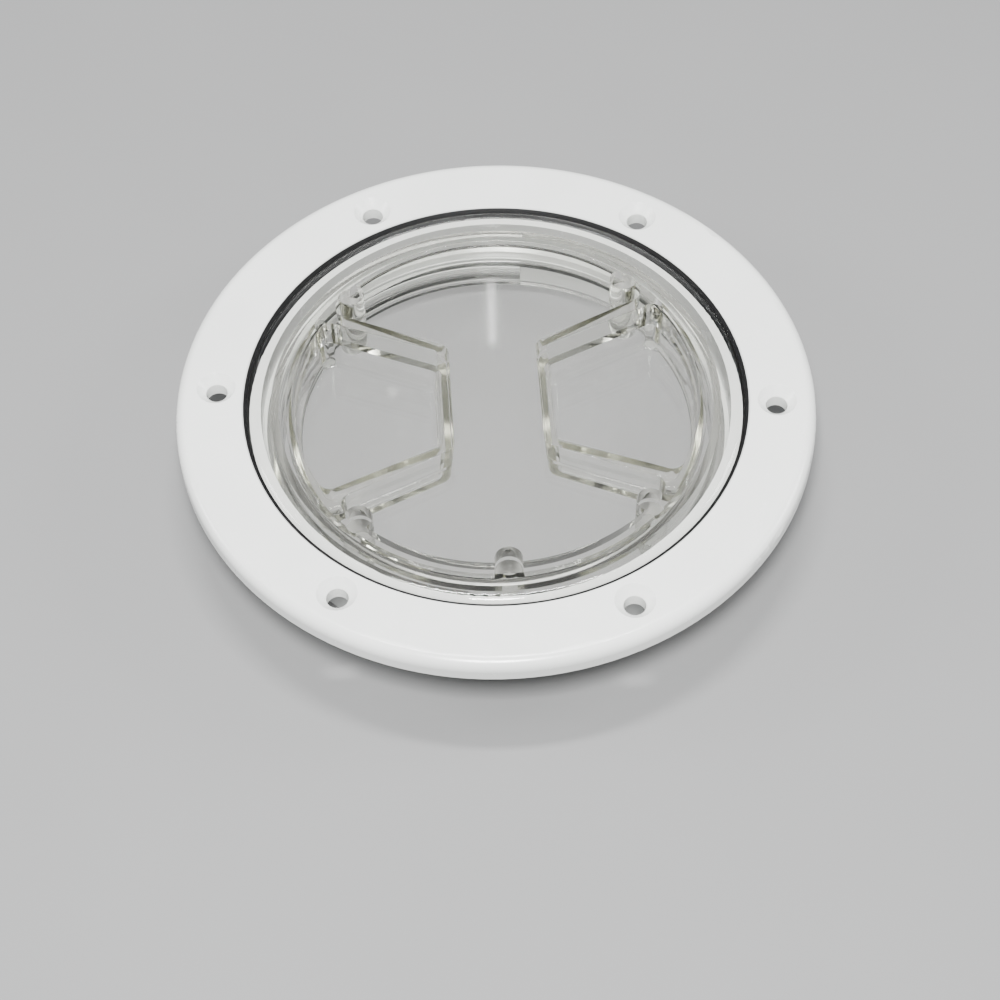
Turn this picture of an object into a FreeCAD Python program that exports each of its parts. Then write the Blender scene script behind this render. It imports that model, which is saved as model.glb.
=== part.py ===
import FreeCAD, Part
import Sketcher
import math
import os

# Round deck inspection plate, nominal 100 mm opening, seen with its lid screwed home.
# The origin is the centre of the flange's underside, where it meets the deck. +Z is up.
# Lengths are millimetres and angles are degrees.
SIZES = [
    # Mounting ring
    ("mouth_radius", 56.0),
    ("mouth_edge_bevel", 0.3),
    ("flange_thickness", 5.0),
    ("flange_edge_round", 2.7),
    ("ledge_width", 1.7),
    ("collar_wall", 2.4),
    ("groove_floor_wall", 2.3),
    ("neck_wall", 2.4),
    ("neck_depth", 16.5),
    ("mouth_to_screws", 6.25),
    ("screws_to_edge", 8.75),
    ("screw_hole_radius", 2.4),
    ("countersink_radius", 4.35),
    ("countersink_angle", 90.0),
    ("screw_count", 6.0),
    ("first_screw_angle", -5.8),
    # Seal
    ("cord_section", 1.9),
    ("cord_gap", 0.1),
    ("seat_gap", 0.1),
    # Screw thread shared by ring and lid
    ("thread_pitch", 4.5),
    ("thread_depth", 1.8),
    ("thread_gap", 0.4),
    ("ridge_base", 2.2),
    ("ridge_tip", 0.8),
    ("ridge_root_bite", 0.3),
    ("lid_ridge_turns", 2.5),
    ("ring_ridge_turns", 1.5),
    ("thread_start_angle", 80.0),
    ("ridge_end_margin", 0.8),
    # Lid
    ("rim_gap", 0.4),
    ("rim_thickness", 3.0),
    ("rim_round", 2.6),
    ("skirt_wall", 1.7),
    ("skirt_depth", 19.5),
    ("crevice_width", 1.4),
    ("web_thickness", 3.0),
    ("hoop_wall", 1.6),
    ("recess_depth", 6.3),
    ("plate_thickness", 2.0),
    ("inner_draft", 6.4),
    ("outer_draft", 4.6),
    # Finger wells
    ("well_side_x", 12.3),
    ("well_half_width", 13.3),
    ("well_flare_angle", 22.6),
    ("well_depth", 13.2),
    ("well_floor", 1.6),
    ("well_side_wall", 2.5),
    ("well_corner_wall", 1.05),
    ("well_wall_spread", 1.9),
    ("well_near_corner", 1.6),
    ("well_far_corner", 3.0),
    ("well_floor_round", 1.4),
    ("block_corner", 2.8),
    ("block_underside_round", 2.3),
    # Bosses round the recess
    ("boss_radius", 3.05),
    ("boss_inset", 1.0),
    ("boss_depth", 16.8),
]
BOSS_ANGLES = [45, 135, 225, 270, 315]
# How far an edge or a face may lie from the place that it is looked for by.
EDGE_REACH = 0.01
# How tall an upright edge or a wall has to be to count as one.
SHORTEST_UPRIGHT = 1.0

doc = FreeCAD.newDocument("deck_inspection_plate")
sheet = doc.addObject("Spreadsheet::Sheet", "sizes")
for row, (alias, value) in enumerate(SIZES, start=1):
    sheet.set("A%d" % row, alias)
    sheet.set("B%d" % row, str(value))
    sheet.setAlias("B%d" % row, alias)
doc.recompute()


def number(expression):
    """The value of an expression in the sheet's sizes."""
    return float(sheet.evalExpression(expression))


# Places that more than one piece uses, each worked out from the sizes above.
RIM_RADIUS = "(sizes.mouth_radius - sizes.rim_gap)"
RIM_UNDERSIDE = "(sizes.flange_thickness - sizes.rim_thickness)"
LEDGE_TOP = "(sizes.flange_thickness - sizes.rim_thickness - sizes.seat_gap)"
GROOVE_INNER = "(sizes.mouth_radius - sizes.cord_section - 2 * sizes.cord_gap)"
GROOVE_FLOOR = "(" + RIM_UNDERSIDE + " - sizes.cord_section - 2 * sizes.cord_gap)"
BORE_RADIUS = "(" + GROOVE_INNER + " - sizes.ledge_width)"
NECK_RADIUS = "(" + BORE_RADIUS + " + sizes.neck_wall)"
COLLAR_RADIUS = "(sizes.mouth_radius + sizes.collar_wall)"
SCREW_CIRCLE = "(sizes.mouth_radius + sizes.mouth_to_screws)"
FLANGE_RADIUS = "(" + SCREW_CIRCLE + " + sizes.screws_to_edge)"
CREST_RADIUS = "(" + BORE_RADIUS + " - sizes.thread_gap)"
ROOT_RADIUS = "(" + CREST_RADIUS + " - sizes.thread_depth)"
SKIRT_INNER = "(" + ROOT_RADIUS + " - sizes.skirt_wall)"
SKIRT_BOTTOM = "(sizes.flange_thickness - sizes.skirt_depth)"
HOOP_RADIUS = "(" + SKIRT_INNER + " - sizes.crevice_width)"
RECESS_RADIUS = "(" + HOOP_RADIUS + " - sizes.hoop_wall)"
RECESS_FOOT = "(" + RECESS_RADIUS + " - sizes.recess_depth * tan(sizes.inner_draft * 1 deg))"
WEB_UNDERSIDE = "(sizes.flange_thickness - sizes.web_thickness)"
PLATE_TOP = "(sizes.flange_thickness - sizes.recess_depth)"
PLATE_UNDERSIDE = "(" + PLATE_TOP + " - sizes.plate_thickness)"
WELL_FLOOR = "(sizes.flange_thickness - sizes.well_depth)"
BLOCK_UNDERSIDE = "(" + WELL_FLOOR + " - sizes.well_floor)"
BOSS_CIRCLE = "(" + RECESS_RADIUS + " - sizes.boss_inset)"
LID_RIDGE_START = "(" + SKIRT_BOTTOM + " + sizes.ridge_base / 2 + sizes.ridge_end_margin)"
RING_RIDGE_START = "(" + LID_RIDGE_START + " + sizes.thread_pitch / 2)"


def origin_plane(body, role):
    """One of a body's own origin planes."""
    return [feature for feature in body.Origin.OriginFeatures if feature.Role == role][0]


def new_sketch(body, name, role, height=None, turn=None):
    """A sketch on an origin plane, raised by a height or turned about the centre line."""
    sketch = body.newObject("Sketcher::SketchObject", name)
    sketch.AttachmentSupport = [(origin_plane(body, role), "")]
    sketch.MapMode = "FlatFace"
    if height:
        sketch.setExpression("AttachmentOffset.Base.z", height)
    if turn:
        sketch.AttachmentOffset = FreeCAD.Placement(
            FreeCAD.Vector(0, 0, 0), FreeCAD.Rotation(FreeCAD.Vector(0, 1, 0), number(turn)))
        sketch.setExpression("AttachmentOffset.Rotation.Angle", turn + " * 1 deg")
    return sketch


def bind_point(sketch, line, end, label, radius, height):
    """Fix one end of a line at a radius and a height given by expressions."""
    for direction, letter, expression, axis in (
            ("DistanceX", "x", radius, -2), ("DistanceY", "y", height, -1)):
        if expression == "0":
            sketch.addConstraint(Sketcher.Constraint("PointOnObject", line, end, axis))
            continue
        place = sketch.addConstraint(
            Sketcher.Constraint(direction, -1, 1, line, end, number(expression)))
        sketch.renameConstraint(place, letter + label)
        sketch.setExpression("Constraints." + letter + label, expression)


def draw_profile(sketch, corners):
    """A closed outline of straight lines through corners, each bound to the sizes."""
    points = [FreeCAD.Vector(number(radius), number(height), 0) for radius, height in corners]
    for index, start in enumerate(points):
        sketch.addGeometry(Part.LineSegment(start, points[(index + 1) % len(points)]), False)
    for index, (radius, height) in enumerate(corners):
        following = (index + 1) % len(corners)
        sketch.addConstraint(Sketcher.Constraint("Coincident", index, 2, following, 1))
        bind_point(sketch, index, 1, str(index), radius, height)


def revolve(body, name, sketch):
    """Turn a sketch a full turn about the centre line."""
    feature = body.newObject("PartDesign::Revolution", name)
    feature.Profile = sketch
    feature.ReferenceAxis = (sketch, ["V_Axis"])
    feature.Angle = 360
    doc.recompute()
    return feature


def round_edges(body, name, base, size, chosen):
    """Round the edges of the base feature that a test chooses."""
    names = ["Edge%d" % (index + 1)
             for index, edge in enumerate(base.Shape.Edges) if chosen(edge)]
    feature = body.newObject("PartDesign::Fillet", name)
    feature.Base = (base, names)
    feature.Radius = number(size)
    feature.setExpression("Radius", size)
    doc.recompute()
    return feature


def circle_at(radius, height):
    """A test for circular edges about the centre line at one radius and height."""
    wanted_radius = number(radius)
    wanted_height = number(height)

    def chosen(edge):
        if not isinstance(edge.Curve, Part.Circle):
            return False
        centre = edge.Curve.Center
        if math.hypot(centre.x, centre.y) > EDGE_REACH:
            return False
        if abs(edge.Curve.Radius - wanted_radius) > EDGE_REACH:
            return False
        return abs(centre.z - wanted_height) < EDGE_REACH

    return chosen


def add_ridge(body, name, root, tip, start, turns):
    """A right-handed screw ridge: a trapezium carried along a helix from its lower end."""
    sketch = new_sketch(body, name + "_profile", "XZ_Plane", turn="sizes.thread_start_angle")
    draw_profile(sketch, [
        (root, start + " - sizes.ridge_base / 2"),
        (tip, start + " - sizes.ridge_tip / 2"),
        (tip, start + " + sizes.ridge_tip / 2"),
        (root, start + " + sizes.ridge_base / 2"),
    ])
    doc.recompute()
    ridge = body.newObject("PartDesign::AdditiveHelix", name)
    ridge.Profile = sketch
    ridge.ReferenceAxis = (sketch, ["V_Axis"])
    ridge.Mode = "pitch-turns-angle"
    ridge.setExpression("Pitch", "sizes.thread_pitch")
    ridge.setExpression("Turns", turns)
    ridge.LeftHanded = False
    doc.recompute()
    return ridge


def make_mounting_ring():
    """Flange, O-ring groove, seat ledge and threaded neck, with countersunk screw holes."""
    body = doc.addObject("PartDesign::Body", "mounting_ring")
    body.Label = "mounting_ring"

    section = new_sketch(body, "ring_section", "XZ_Plane")
    collar_bottom = GROOVE_FLOOR + " - sizes.groove_floor_wall"
    draw_profile(section, [
        (COLLAR_RADIUS, "0"),
        (FLANGE_RADIUS, "0"),
        (FLANGE_RADIUS, "sizes.flange_thickness"),
        ("sizes.mouth_radius + sizes.mouth_edge_bevel", "sizes.flange_thickness"),
        ("sizes.mouth_radius", "sizes.flange_thickness - sizes.mouth_edge_bevel"),
        ("sizes.mouth_radius", GROOVE_FLOOR),
        (GROOVE_INNER, GROOVE_FLOOR),
        (GROOVE_INNER, LEDGE_TOP),
        (BORE_RADIUS, LEDGE_TOP),
        (BORE_RADIUS, "-sizes.neck_depth"),
        (NECK_RADIUS, "-sizes.neck_depth"),
        (NECK_RADIUS, collar_bottom),
        (COLLAR_RADIUS, collar_bottom),
    ])
    turned = revolve(body, "ring_turned", section)

    round_edges(body, "flange_edge", turned, "sizes.flange_edge_round",
                circle_at(FLANGE_RADIUS, "sizes.flange_thickness"))

    add_ridge(body, "ring_ridge", BORE_RADIUS + " + sizes.ridge_root_bite",
              ROOT_RADIUS + " + sizes.thread_gap", RING_RIDGE_START, "sizes.ring_ridge_turns")

    hole_section = new_sketch(body, "screw_hole_section", "XZ_Plane",
                              turn="sizes.first_screw_angle")
    sink_depth = ("((sizes.countersink_radius - sizes.screw_hole_radius)"
                  " / tan(sizes.countersink_angle / 2 * 1 deg))")
    hole_edge = SCREW_CIRCLE + " + sizes.screw_hole_radius"
    sink_edge = SCREW_CIRCLE + " + sizes.countersink_radius"
    draw_profile(hole_section, [
        (SCREW_CIRCLE, "-sizes.flange_thickness"),
        (hole_edge, "-sizes.flange_thickness"),
        (hole_edge, "sizes.flange_thickness - " + sink_depth),
        (sink_edge, "sizes.flange_thickness"),
        (sink_edge, "2 * sizes.flange_thickness"),
        (SCREW_CIRCLE, "2 * sizes.flange_thickness"),
    ])
    doc.recompute()
    hole = body.newObject("PartDesign::Groove", "screw_hole")
    hole.Profile = hole_section
    hole.ReferenceAxis = (hole_section, ["Edge6"])
    hole.Angle = 360
    doc.recompute()

    holes = body.newObject("PartDesign::PolarPattern", "screw_holes")
    holes.Originals = [hole]
    holes.Axis = (hole_section, ["V_Axis"])
    holes.Angle = 360
    holes.setExpression("Occurrences", "sizes.screw_count")
    body.Tip = holes
    doc.recompute()
    return body


def draw_well(sketch, side_x, half_width, flare, arc_radius):
    """A fan-shaped outline: a straight side, two flared sides and an arc about the centre."""
    near_x = number(side_x)
    near_y = number(half_width)
    angle = math.radians(number(flare))
    radius = number(arc_radius)
    # Where the flared side meets the arc.
    along = near_x * math.cos(angle) + near_y * math.sin(angle)
    reach = -along + math.sqrt(along ** 2 - near_x ** 2 - near_y ** 2 + radius ** 2)
    far_x = near_x + reach * math.cos(angle)
    far_y = near_y + reach * math.sin(angle)
    sweep = math.atan2(far_y, far_x)
    near_low = FreeCAD.Vector(near_x, -near_y, 0)
    near_high = FreeCAD.Vector(near_x, near_y, 0)
    far_low = FreeCAD.Vector(far_x, -far_y, 0)
    far_high = FreeCAD.Vector(far_x, far_y, 0)
    circle = Part.Circle(FreeCAD.Vector(0, 0, 0), FreeCAD.Vector(0, 0, 1), radius)
    side = sketch.addGeometry(Part.LineSegment(near_high, near_low), False)
    low = sketch.addGeometry(Part.LineSegment(near_low, far_low), False)
    arc = sketch.addGeometry(Part.ArcOfCircle(circle, -sweep, sweep), False)
    high = sketch.addGeometry(Part.LineSegment(far_high, near_high), False)
    sketch.addConstraint(Sketcher.Constraint("Coincident", side, 2, low, 1))
    sketch.addConstraint(Sketcher.Constraint("Coincident", low, 2, arc, 1))
    sketch.addConstraint(Sketcher.Constraint("Coincident", arc, 2, high, 1))
    sketch.addConstraint(Sketcher.Constraint("Coincident", high, 2, side, 1))
    sketch.addConstraint(Sketcher.Constraint("Coincident", arc, 3, -1, 1))
    sketch.addConstraint(Sketcher.Constraint("Symmetric", side, 1, side, 2, -1))
    bind_point(sketch, side, 1, "_near", side_x, half_width)
    spread = "(" + flare + ") * 1 deg"
    for name, constraint, expression in (
            ("flare_high", Sketcher.Constraint("Angle", -1, 1, high, 2, angle), spread),
            ("flare_low", Sketcher.Constraint("Angle", low, 1, -1, 1, angle), spread),
            ("arc_radius", Sketcher.Constraint("Radius", arc, radius), arc_radius)):
        index = sketch.addConstraint(constraint)
        sketch.renameConstraint(index, name)
        sketch.setExpression("Constraints." + name, expression)


def upright_at(height, radii):
    """A test for upright edges whose upper end lies at a height and at one of some radii."""
    top = number(height)
    wanted = [number(radius) for radius in radii]

    def chosen(edge):
        if len(edge.Vertexes) < 2:
            return False
        low, high = sorted((vertex.Point for vertex in edge.Vertexes), key=lambda end: end.z)
        if abs(high.z - top) > EDGE_REACH or high.z - low.z < SHORTEST_UPRIGHT:
            return False
        radius = math.hypot(high.x, high.y)
        return any(abs(radius - near) < EDGE_REACH for near in wanted)

    return chosen


def level_edge(height):
    """A test for edges that lie flat at one height."""
    wanted = number(height)

    def chosen(edge):
        lowest, highest = edge.BoundBox.ZMin, edge.BoundBox.ZMax
        return max(abs(lowest - wanted), abs(highest - wanted)) < EDGE_REACH

    return chosen


def add_drafted_pair(body, name, kind, outline, depth, draft, reversed_pad):
    """A block or pocket on an outline and its twin half a turn away, with leaning walls."""
    feature = body.newObject("PartDesign::" + kind, name)
    feature.Profile = outline
    feature.setExpression("Length", depth)
    feature.Reversed = reversed_pad
    doc.recompute()
    pair = body.newObject("PartDesign::PolarPattern", name + "_pair")
    pair.Originals = [feature]
    pair.Axis = (outline, ["N_Axis"])
    pair.Angle = 360
    pair.Occurrences = 2
    body.Tip = pair
    doc.recompute()

    # The walls lean inwards from the top face, where the outline stays as drawn.
    top = number("sizes.flange_thickness")
    bottom = number("sizes.flange_thickness - (" + depth + ")")
    walls = []
    tops = []
    for index, face in enumerate(pair.Shape.Faces):
        box = face.BoundBox
        if abs(box.ZMin - bottom) < EDGE_REACH and box.ZLength > SHORTEST_UPRIGHT:
            walls.append("Face%d" % (index + 1))
        if abs(box.ZMin - top) < EDGE_REACH:
            tops.append("Face%d" % (index + 1))
    lean = body.newObject("PartDesign::Draft", name + "_draft")
    lean.Base = (pair, walls)
    lean.NeutralPlane = (pair, tops[:1])
    lean.Angle = number(draft)
    lean.setExpression("Angle", "(" + draft + ") * 1 deg")
    lean.Reversed = reversed_pad
    body.Tip = lean
    doc.recompute()
    return lean


def add_well_blocks(body):
    """Two drafted fan-shaped blocks that will stand through the recessed plate."""
    block_outline = new_sketch(body, "well_block_outline", "XY_Plane",
                               height="sizes.flange_thickness")
    draw_well(block_outline, "sizes.well_side_x - sizes.well_side_wall",
              "sizes.well_half_width + sizes.well_corner_wall",
              "sizes.well_flare_angle + sizes.well_wall_spread", HOOP_RADIUS)
    doc.recompute()
    blocks = add_drafted_pair(body, "well_block", "Pad", block_outline,
                              "sizes.well_depth + sizes.well_floor", "sizes.outer_draft", True)
    block_corner = ("sqrt((sizes.well_side_x - sizes.well_side_wall) ^ 2"
                    " + (sizes.well_half_width + sizes.well_corner_wall) ^ 2)")
    cornered = round_edges(body, "block_corners", blocks, "sizes.block_corner",
                           upright_at("sizes.flange_thickness", [block_corner, HOOP_RADIUS]))
    round_edges(body, "block_underside", cornered, "sizes.block_underside_round",
                level_edge(BLOCK_UNDERSIDE))


def cut_finger_wells(body):
    """A drafted well in each block, rounded in its corners and round its floor."""
    well_outline = new_sketch(body, "well_outline", "XY_Plane",
                              height="sizes.flange_thickness")
    draw_well(well_outline, "sizes.well_side_x", "sizes.well_half_width",
              "sizes.well_flare_angle", RECESS_RADIUS)
    doc.recompute()
    wells = add_drafted_pair(body, "well", "Pocket", well_outline,
                             "sizes.well_depth", "sizes.inner_draft", False)
    near_corner = "sqrt(sizes.well_side_x ^ 2 + sizes.well_half_width ^ 2)"
    near_rounded = round_edges(body, "well_near_corners", wells, "sizes.well_near_corner",
                               upright_at("sizes.flange_thickness", [near_corner]))
    far_rounded = round_edges(body, "well_far_corners", near_rounded, "sizes.well_far_corner",
                              upright_at("sizes.flange_thickness", [RECESS_RADIUS]))
    round_edges(body, "well_floors", far_rounded, "sizes.well_floor_round",
                level_edge(WELL_FLOOR))


def add_bosses(body):
    """Five round bosses that stand in the recess, from the rim's top to well below the plate."""
    outline = new_sketch(body, "boss_outline", "XY_Plane", height="sizes.flange_thickness")
    boss_circle = number(BOSS_CIRCLE)
    for index, angle in enumerate(BOSS_ANGLES):
        centre = FreeCAD.Vector(boss_circle * math.cos(math.radians(angle)),
                                boss_circle * math.sin(math.radians(angle)), 0)
        circle = Part.Circle(centre, FreeCAD.Vector(0, 0, 1), number("sizes.boss_radius"))
        outline.addGeometry(circle, False)
        places = (
            ("x", "DistanceX", BOSS_CIRCLE + " * cos(%d deg)" % angle),
            ("y", "DistanceY", BOSS_CIRCLE + " * sin(%d deg)" % angle),
        )
        for letter, direction, expression in places:
            if abs(number(expression)) < EDGE_REACH:
                outline.addConstraint(Sketcher.Constraint("PointOnObject", index, 3, -2))
                continue
            place = outline.addConstraint(
                Sketcher.Constraint(direction, -1, 1, index, 3, number(expression)))
            outline.renameConstraint(place, "%s%d" % (letter, index))
            outline.setExpression("Constraints.%s%d" % (letter, index), expression)
        size = outline.addConstraint(
            Sketcher.Constraint("Radius", index, number("sizes.boss_radius")))
        outline.renameConstraint(size, "radius%d" % index)
        outline.setExpression("Constraints.radius%d" % index, "sizes.boss_radius")
    doc.recompute()
    bosses = body.newObject("PartDesign::Pad", "bosses")
    bosses.Profile = outline
    bosses.setExpression("Length", "sizes.boss_depth")
    bosses.Reversed = True
    doc.recompute()


def make_clear_lid():
    """One clear moulding: rim, recessed plate, finger wells, bosses and threaded skirt."""
    body = doc.addObject("PartDesign::Body", "clear_lid")
    body.Label = "clear_lid"

    # The two blocks are apart until the plate and rim join them.
    body.AllowCompound = True
    add_well_blocks(body)

    section = new_sketch(body, "lid_section", "XZ_Plane")
    draw_profile(section, [
        ("0", PLATE_UNDERSIDE),
        (HOOP_RADIUS, PLATE_UNDERSIDE),
        (HOOP_RADIUS, WEB_UNDERSIDE),
        (SKIRT_INNER, WEB_UNDERSIDE),
        (SKIRT_INNER, SKIRT_BOTTOM),
        (ROOT_RADIUS, SKIRT_BOTTOM),
        (ROOT_RADIUS, RIM_UNDERSIDE),
        (RIM_RADIUS, RIM_UNDERSIDE),
        (RIM_RADIUS, "sizes.flange_thickness"),
        (RECESS_RADIUS, "sizes.flange_thickness"),
        (RECESS_FOOT, PLATE_TOP),
        ("0", PLATE_TOP),
    ])
    turned = revolve(body, "lid_turned", section)
    round_edges(body, "rim_edge", turned, "sizes.rim_round",
                circle_at(RIM_RADIUS, "sizes.flange_thickness"))
    cut_finger_wells(body)
    add_bosses(body)
    add_ridge(body, "lid_ridge", ROOT_RADIUS + " - sizes.ridge_root_bite", CREST_RADIUS,
              LID_RIDGE_START, "sizes.lid_ridge_turns")
    return body


def make_o_ring():
    """Rubber cord ring lying in the groove under the lid's rim."""
    ring = doc.addObject("Part::Torus", "o_ring")
    ring.Label = "o_ring"
    ring.setExpression("Radius1", "sizes.mouth_radius - sizes.cord_gap - sizes.cord_section / 2")
    ring.setExpression("Radius2", "sizes.cord_section / 2")
    ring.setExpression("Placement.Base.z",
                       RIM_UNDERSIDE + " - sizes.cord_gap - sizes.cord_section / 2")
    return ring


pieces = [make_mounting_ring(), make_clear_lid(), make_o_ring()]
doc.recompute()

for item in doc.Objects:
    if "Invalid" in item.State or "Error" in item.State:
        raise RuntimeError("%s did not build: %s" % (item.Name, item.State))
for piece in pieces:
    if piece.Shape.isNull() or not piece.Shape.isValid():
        raise RuntimeError("%s has no valid shape" % piece.Label)

os.makedirs("parts", exist_ok=True)
for piece in pieces:
    piece.Shape.exportStep("parts/%s.step" % piece.Label)
    print(piece.Label, "solids", len(piece.Shape.Solids), "volume mm3", round(piece.Shape.Volume, 1))
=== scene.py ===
import math

import bpy
from mathutils import Matrix, Vector


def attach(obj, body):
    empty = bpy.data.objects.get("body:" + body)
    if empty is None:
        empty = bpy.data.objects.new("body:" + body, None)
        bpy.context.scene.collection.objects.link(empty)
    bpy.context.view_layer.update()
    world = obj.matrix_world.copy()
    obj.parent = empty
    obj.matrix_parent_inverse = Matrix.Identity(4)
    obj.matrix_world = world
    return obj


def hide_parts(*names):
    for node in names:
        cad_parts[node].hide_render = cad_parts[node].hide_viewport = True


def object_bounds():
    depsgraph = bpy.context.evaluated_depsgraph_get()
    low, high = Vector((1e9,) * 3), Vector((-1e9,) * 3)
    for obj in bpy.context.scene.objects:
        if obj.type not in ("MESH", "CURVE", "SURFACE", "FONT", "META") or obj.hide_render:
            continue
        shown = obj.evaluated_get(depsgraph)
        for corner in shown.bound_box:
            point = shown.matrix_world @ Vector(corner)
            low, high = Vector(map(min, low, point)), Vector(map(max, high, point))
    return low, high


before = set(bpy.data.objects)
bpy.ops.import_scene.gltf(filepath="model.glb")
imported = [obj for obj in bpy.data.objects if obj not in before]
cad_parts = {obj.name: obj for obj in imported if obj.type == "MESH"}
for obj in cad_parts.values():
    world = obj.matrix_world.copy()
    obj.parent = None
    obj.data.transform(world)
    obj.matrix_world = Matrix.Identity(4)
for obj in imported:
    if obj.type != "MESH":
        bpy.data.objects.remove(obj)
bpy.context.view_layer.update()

# Lengths are in millimetres and angles in degrees.
MM = 0.001

# The camera, fitted to the circles that the photograph shows. Its target lies on the
# flange's top face.
VIEW_ELEVATION = 54.166
VIEW_TURN = -2.6
VIEW_ROLL = -1.3006
VIEW_DISTANCE = 509.67
VIEW_TARGET = (0.433, -29.066, 5.0)
LENS = 85.57
SENSOR = 36.0
NEAREST_SEEN = 10.0
VIEW_LOOK = "AgX - Medium High Contrast"

# The lights look at the middle of the deck face.
LIGHT_TARGET = (0, 0, 0)

FLOOR_SIZE = 3000.0
FLOOR_GAP = 0.05

# Facets of a solid are joined within the weld reach, and flat ones that turn by less than
# the flat limit are merged. Edges that turn by more than the edge limit are rounded, and
# those that turn by more than the smooth limit stay sharp.
WELD_REACH = 0.002
FLAT_LIMIT = 0.6
EDGE_LIMIT = 26
EDGE_ROUND = 0.25
EDGE_ROUND_STEPS = 3
SMOOTH_LIMIT = 38.0
LARGE_FACE_WEIGHT = 100

# The seal is squeezed up between the lid's rounded rim and the wall of the ring's mouth.
# These radii and heights are the solids' own.
MOUTH_RADIUS = 56.0
RIM_ROUND_CENTRE = (53.0, 2.4)
RIM_ROUND = 2.6
CORD_CENTRE = (54.95, 0.95)
CORD_RADIUS = 0.95

# The seal's lip starts from the cord's round at the root angle and goes up the wall to a
# small round at its top, which ends at the crest angle. On the inside it follows the rim's
# round up to the rim angle. It keeps a gap to both.
LIP_GAP = 0.07
LIP_TOP = 4.72
LIP_ROUND = 0.17
LIP_ROOT_ANGLE = 40
LIP_CREST_ANGLE = 130
LIP_RIM_ANGLE = 37
SEAL_SEGMENTS = 240

# A light path may bounce this often in all, and this often off or through clear walls.
ALL_BOUNCES = 32
CLEAR_WALL_BOUNCES = 24


class Signal:
    """A socket whose sums and products add their own Math nodes."""

    def __init__(self, finish, socket):
        self.finish = finish
        self.socket = socket

    def combine(self, operation, other):
        node = self.finish.node("ShaderNodeMath", {"operation": operation}, {0: self, 1: other})
        return node[0]

    def __add__(self, other):
        return self.combine("ADD", other)

    __radd__ = __add__

    def __mul__(self, other):
        return self.combine("MULTIPLY", other)

    def within(self, low, high):
        """0 below low, 1 above high and a smooth slope between."""
        return self.finish.node("ShaderNodeMapRange", {"interpolation_type": "SMOOTHSTEP"},
                                {"Value": self, "From Min": low, "From Max": high})["Result"]


class Node:
    """A shader node whose outputs are read by name or number as signals."""

    def __init__(self, finish, node):
        self.finish = finish
        self.node = node

    def __getitem__(self, key):
        return Signal(self.finish, self.node.outputs[key])


class Finish:
    """A procedural material on one Principled shader."""

    def __init__(self, name, **settings):
        self.material = bpy.data.materials.new(name)
        self.material.use_nodes = True
        self.tree = self.material.node_tree
        self.shader = self.tree.nodes["Principled BSDF"]
        for socket, value in settings.items():
            self.set(socket.replace("_", " "), value)

    def set(self, socket, value):
        """Link a signal to a socket of the shader, or set a plain value there."""
        self.plug(self.shader.inputs[socket], value)

    def plug(self, socket, value):
        """Link a signal to any socket, or set a plain value there."""
        if isinstance(value, Signal):
            self.tree.links.new(value.socket, socket)
        else:
            socket.default_value = value

    def node(self, kind, settings=None, inputs=None):
        """A node of any type: its settings first, then its sockets."""
        node = self.tree.nodes.new(kind)
        for name, value in (settings or {}).items():
            setattr(node, name, value)
        for key, value in (inputs or {}).items():
            self.plug(node.inputs[key], value)
        return Node(self, node)

    def fill_with(self, kind, inputs):
        """Fill the solid behind the surface with a volume shader."""
        volume = self.node(kind, {}, inputs)
        output = self.tree.nodes["Material Output"]
        self.tree.links.new(volume.node.outputs["Volume"], output.inputs["Volume"])

    def noise(self, size_mm, detail, roughness=0.5):
        """Cloudy noise whose features are about a size across, in the part's own frame."""
        place = self.node("ShaderNodeTexCoord")["Object"]
        return self.node("ShaderNodeTexNoise", {}, {
            "Vector": place, "Scale": 1.0 / (size_mm * MM),
            "Detail": detail, "Roughness": roughness})["Fac"]

    def tint(self, amount, first, second):
        """A colour between two, by an amount from 0 to 1."""
        # The Mix node has its two colours at inputs 6 and 7 and their mix at output 2.
        return self.node("ShaderNodeMix", {"data_type": "RGBA"},
                         {"Factor": amount, 6: first, 7: second})[2]

    def bump(self, height, depth_mm, strength):
        """A normal from a height that is given as a share of a depth."""
        return self.node("ShaderNodeBump", {}, {
            "Height": height, "Distance": depth_mm * MM, "Strength": strength})["Normal"]


def white_plastic_finish():
    """Glossy moulded white plastic with faint clouding, dust and handling marks."""
    duller_white = (0.775, 0.785, 0.765, 1)
    cleaner_white = (0.805, 0.815, 0.795, 1)
    dust = (0.45, 0.45, 0.42, 1)
    finish = Finish("white_plastic", IOR=1.5)
    cloud = finish.noise(size_mm=24.0, detail=2.0)
    grain = finish.noise(size_mm=0.35, detail=2.0)
    smear = finish.noise(size_mm=7.0, detail=5.0, roughness=0.65)
    specks = finish.noise(size_mm=0.55, detail=1.0).within(0.72, 0.78)
    white = finish.tint(cloud.within(0.3, 0.7), duller_white, cleaner_white)
    finish.set("Base Color", finish.tint(specks * 0.25, white, dust))
    finish.set("Roughness", 0.2 + smear.within(0.4, 0.75) * 0.12 + specks * 0.2)
    finish.set("Normal", finish.bump(grain * 0.5 + smear * 0.5, depth_mm=0.012, strength=0.35))
    return finish.material


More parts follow.
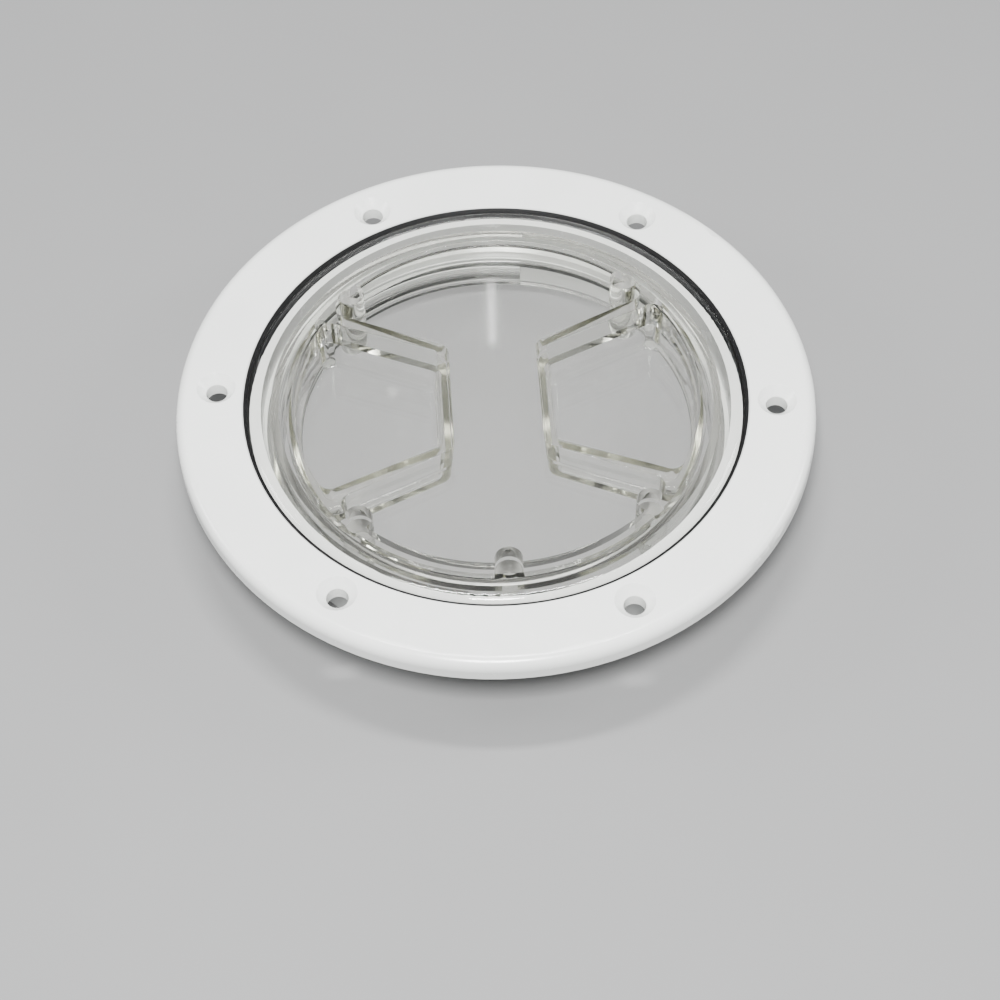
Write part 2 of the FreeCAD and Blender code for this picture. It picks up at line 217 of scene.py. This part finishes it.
def clear_plastic_finish():
    """Polished clear plastic with a slight warm tint in its body and a few faint smears."""
    greyer_clear = (0.975, 0.978, 0.965, 1)
    purer_clear = (0.985, 0.988, 0.978, 1)
    warm_body = (0.82, 0.82, 0.70, 1)
    body_density_per_metre = 24.0
    finish = Finish("clear_plastic", IOR=1.5, Transmission_Weight=1.0)
    cloud = finish.noise(size_mm=16.0, detail=1.0)
    smear = finish.noise(size_mm=9.0, detail=5.0, roughness=0.7)
    finish.set("Base Color", finish.tint(cloud.within(0.3, 0.7), greyer_clear, purer_clear))
    finish.set("Roughness", 0.03 + smear.within(0.55, 0.8) * 0.03)
    finish.fill_with("ShaderNodeVolumeAbsorption",
                     {"Color": warm_body, "Density": body_density_per_metre})
    return finish.material


def rubber_finish():
    """Black rubber cord with a little dust."""
    clean_rubber = (0.008, 0.008, 0.0085, 1)
    dusty_rubber = (0.02, 0.02, 0.02, 1)
    finish = Finish("black_rubber", IOR=1.4)
    dust = finish.noise(size_mm=1.2, detail=3.0)
    finish.set("Base Color", finish.tint(dust.within(0.5, 0.8), clean_rubber, dusty_rubber))
    finish.set("Roughness", 0.55 + dust * 0.14)
    return finish.material


def floor_finish():
    """Plain pale floor."""
    darker_grey = (0.27, 0.27, 0.27, 1)
    lighter_grey = (0.285, 0.285, 0.285, 1)
    finish = Finish("pale_floor", IOR=1.45, Roughness=0.6)
    cloud = finish.noise(size_mm=60.0, detail=3.0)
    finish.set("Base Color", finish.tint(cloud, darker_grey, lighter_grey))
    return finish.material


def dress(node, material):
    """Give a carried-over solid its finish."""
    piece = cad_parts[node]
    piece.data.materials.clear()
    piece.data.materials.append(material)
    return piece


def soften_moulded_edges(piece):
    """Join a solid's facets, round its sharp edges a little and shade the rest smooth."""
    weld = piece.modifiers.new("weld", "WELD")
    weld.merge_threshold = WELD_REACH * MM
    flat = piece.modifiers.new("join_flat_facets", "DECIMATE")
    flat.decimate_type = "DISSOLVE"
    flat.angle_limit = math.radians(FLAT_LIMIT)
    rounding = piece.modifiers.new("edge_round", "BEVEL")
    rounding.width = EDGE_ROUND * MM
    rounding.segments = EDGE_ROUND_STEPS
    rounding.limit_method = "ANGLE"
    rounding.angle_limit = math.radians(EDGE_LIMIT)
    rounding.miter_outer = "MITER_ARC"
    shade_smooth(piece)
    weighted = piece.modifiers.new("weighted", "WEIGHTED_NORMAL")
    weighted.keep_sharp = True
    weighted.weight = LARGE_FACE_WEIGHT


def shade_smooth(piece):
    """Smooth faces, with sharp edges only where the faces turn by more than the limit."""
    group = bpy.data.node_groups.new("smooth_" + piece.name, "GeometryNodeTree")
    group.interface.new_socket("Geometry", in_out="INPUT", socket_type="NodeSocketGeometry")
    group.interface.new_socket("Geometry", in_out="OUTPUT", socket_type="NodeSocketGeometry")
    entry = group.nodes.new("NodeGroupInput")
    leave = group.nodes.new("NodeGroupOutput")
    faces = group.nodes.new("GeometryNodeSetShadeSmooth")
    faces.domain = "FACE"
    faces.inputs["Shade Smooth"].default_value = True
    edges = group.nodes.new("GeometryNodeSetShadeSmooth")
    edges.domain = "EDGE"
    angle = group.nodes.new("GeometryNodeInputMeshEdgeAngle")
    gentle = group.nodes.new("FunctionNodeCompare")
    gentle.operation = "LESS_THAN"
    gentle.inputs[1].default_value = math.radians(SMOOTH_LIMIT)
    links = group.links
    links.new(entry.outputs[0], faces.inputs["Geometry"])
    links.new(faces.outputs["Geometry"], edges.inputs["Geometry"])
    links.new(angle.outputs["Unsigned Angle"], gentle.inputs[0])
    links.new(gentle.outputs[0], edges.inputs["Shade Smooth"])
    links.new(edges.outputs["Geometry"], leave.inputs[0])
    smooth = piece.modifiers.new("smooth", "NODES")
    smooth.node_group = group


def arc(centre, radius, first, last, steps):
    """Points on an arc from one angle to another."""
    points = []
    for step in range(steps + 1):
        angle = math.radians(first + (last - first) * step / steps)
        points.append((centre[0] + radius * math.cos(angle), centre[1] + radius * math.sin(angle)))
    return points


def turned_piece(name, outline, segments):
    """A closed outline of radii and heights turned about the centre line."""
    points = []
    faces = []
    count = len(outline)
    for step in range(segments):
        angle = 2 * math.pi * step / segments
        ahead = (step + 1) % segments
        for radius, height in outline:
            points.append((radius * math.cos(angle) * MM, radius * math.sin(angle) * MM, height * MM))
        for index in range(count):
            following = (index + 1) % count
            faces.append((step * count + index, ahead * count + index,
                          ahead * count + following, step * count + following))
    return new_piece(name, points, faces)


def new_piece(name, points, faces):
    """A new object in the scene, from points in metres and faces."""
    mesh = bpy.data.meshes.new(name)
    mesh.from_pydata(points, [], faces)
    piece = bpy.data.objects.new(name, mesh)
    bpy.context.scene.collection.objects.link(piece)
    return piece


def add_squeezed_seal():
    """The rubber cord as the closed lid squeezes it: round below, with a lip up the wall."""
    wall = MOUTH_RADIUS - LIP_GAP
    crest_centre = (wall - LIP_ROUND, LIP_TOP - LIP_ROUND)
    outline = arc(CORD_CENTRE, CORD_RADIUS, LIP_ROOT_ANGLE, 360, steps=24)
    outline += arc(crest_centre, LIP_ROUND, 0, LIP_CREST_ANGLE, steps=6)
    outline += arc(RIM_ROUND_CENTRE, RIM_ROUND + LIP_GAP, LIP_RIM_ANGLE, 0, steps=8)
    seal = turned_piece("squeezed_seal", outline, SEAL_SEGMENTS)
    seal.data.materials.append(rubber_finish())
    shade_smooth(seal)
    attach(seal, "seal")
    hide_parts("o_ring")


def add_floor():
    """A plain pale floor just under the neck's lower edge."""
    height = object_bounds()[0][2] - FLOOR_GAP * MM
    half = FLOOR_SIZE * MM / 2
    corners = [(-half, -half, height), (half, -half, height),
               (half, half, height), (-half, half, height)]
    floor = new_piece("floor", corners, [(0, 1, 2, 3)])
    floor.data.materials.append(floor_finish())


def add_softbox(name, place_mm, width_mm, height_mm, watts):
    """A rectangular softbox that looks at the plate."""
    light = bpy.data.lights.new(name, "AREA")
    light.shape = "RECTANGLE"
    light.size = width_mm * MM
    light.size_y = height_mm * MM
    light.energy = watts
    box = bpy.data.objects.new(name, light)
    bpy.context.scene.collection.objects.link(box)
    box.location = Vector(place_mm) * MM
    towards_plate = Vector(LIGHT_TARGET) - Vector(place_mm)
    box.rotation_euler = towards_plate.to_track_quat("-Z", "Y").to_euler()


def light_studio():
    """A soft light near the camera, one overhead, one on each side, a back lamp and a pale room."""
    cool_white = (0.95, 0.97, 1.0, 1)
    world = bpy.data.worlds.new("studio")
    bpy.context.scene.world = world
    world.use_nodes = True
    room = world.node_tree.nodes["Background"]
    room.inputs["Color"].default_value = cool_white
    room.inputs["Strength"].default_value = 0.36
    add_softbox("front_softbox", (-40, -420, 800), width_mm=200, height_mm=240, watts=12.0)
    add_softbox("top_softbox", (0, 230, 850), width_mm=320, height_mm=70, watts=4.0)
    add_softbox("left_softbox", (-800, 150, 420), width_mm=300, height_mm=300, watts=2.0)
    add_softbox("right_softbox", (800, 150, 460), width_mm=300, height_mm=300, watts=2.0)
    add_softbox("back_lamp", (38, 900, 1024), width_mm=6, height_mm=50, watts=0.006)


def add_camera():
    """The photograph's view of the plate."""
    elevation = math.radians(VIEW_ELEVATION)
    roll = math.radians(VIEW_ROLL)
    turn = Matrix.Rotation(math.radians(VIEW_TURN), 3, "Z")
    back = Vector((0, -math.cos(elevation), math.sin(elevation)))
    right = Vector((1, 0, 0))
    up = Vector((0, math.sin(elevation), math.cos(elevation)))
    across = math.cos(roll) * right + math.sin(roll) * up
    upward = math.cos(roll) * up - math.sin(roll) * right
    pose = Matrix((turn @ across, turn @ upward, turn @ back)).transposed().to_4x4()
    pose.translation = turn @ (Vector(VIEW_TARGET) + VIEW_DISTANCE * back) * MM
    data = bpy.data.cameras.new("camera")
    data.lens = LENS
    data.sensor_width = SENSOR
    data.clip_start = NEAREST_SEEN * MM
    camera = bpy.data.objects.new("camera", data)
    camera.matrix_world = pose
    bpy.context.scene.collection.objects.link(camera)
    bpy.context.scene.camera = camera


def let_light_through(clear_piece):
    """Let light fall through a clear piece and pass its many walls before a path ends."""
    clear_piece.visible_shadow = False
    paths = bpy.context.scene.cycles
    paths.max_bounces = ALL_BOUNCES
    paths.glossy_bounces = CLEAR_WALL_BOUNCES
    paths.transmission_bounces = CLEAR_WALL_BOUNCES
    paths.caustics_refractive = False
    paths.caustics_reflective = False


ring = dress("mounting_ring", white_plastic_finish())
lid = dress("clear_lid", clear_plastic_finish())
soften_moulded_edges(ring)
soften_moulded_edges(lid)
add_squeezed_seal()
add_floor()
light_studio()
add_camera()
let_light_through(lid)
bpy.context.scene.view_settings.look = VIEW_LOOK
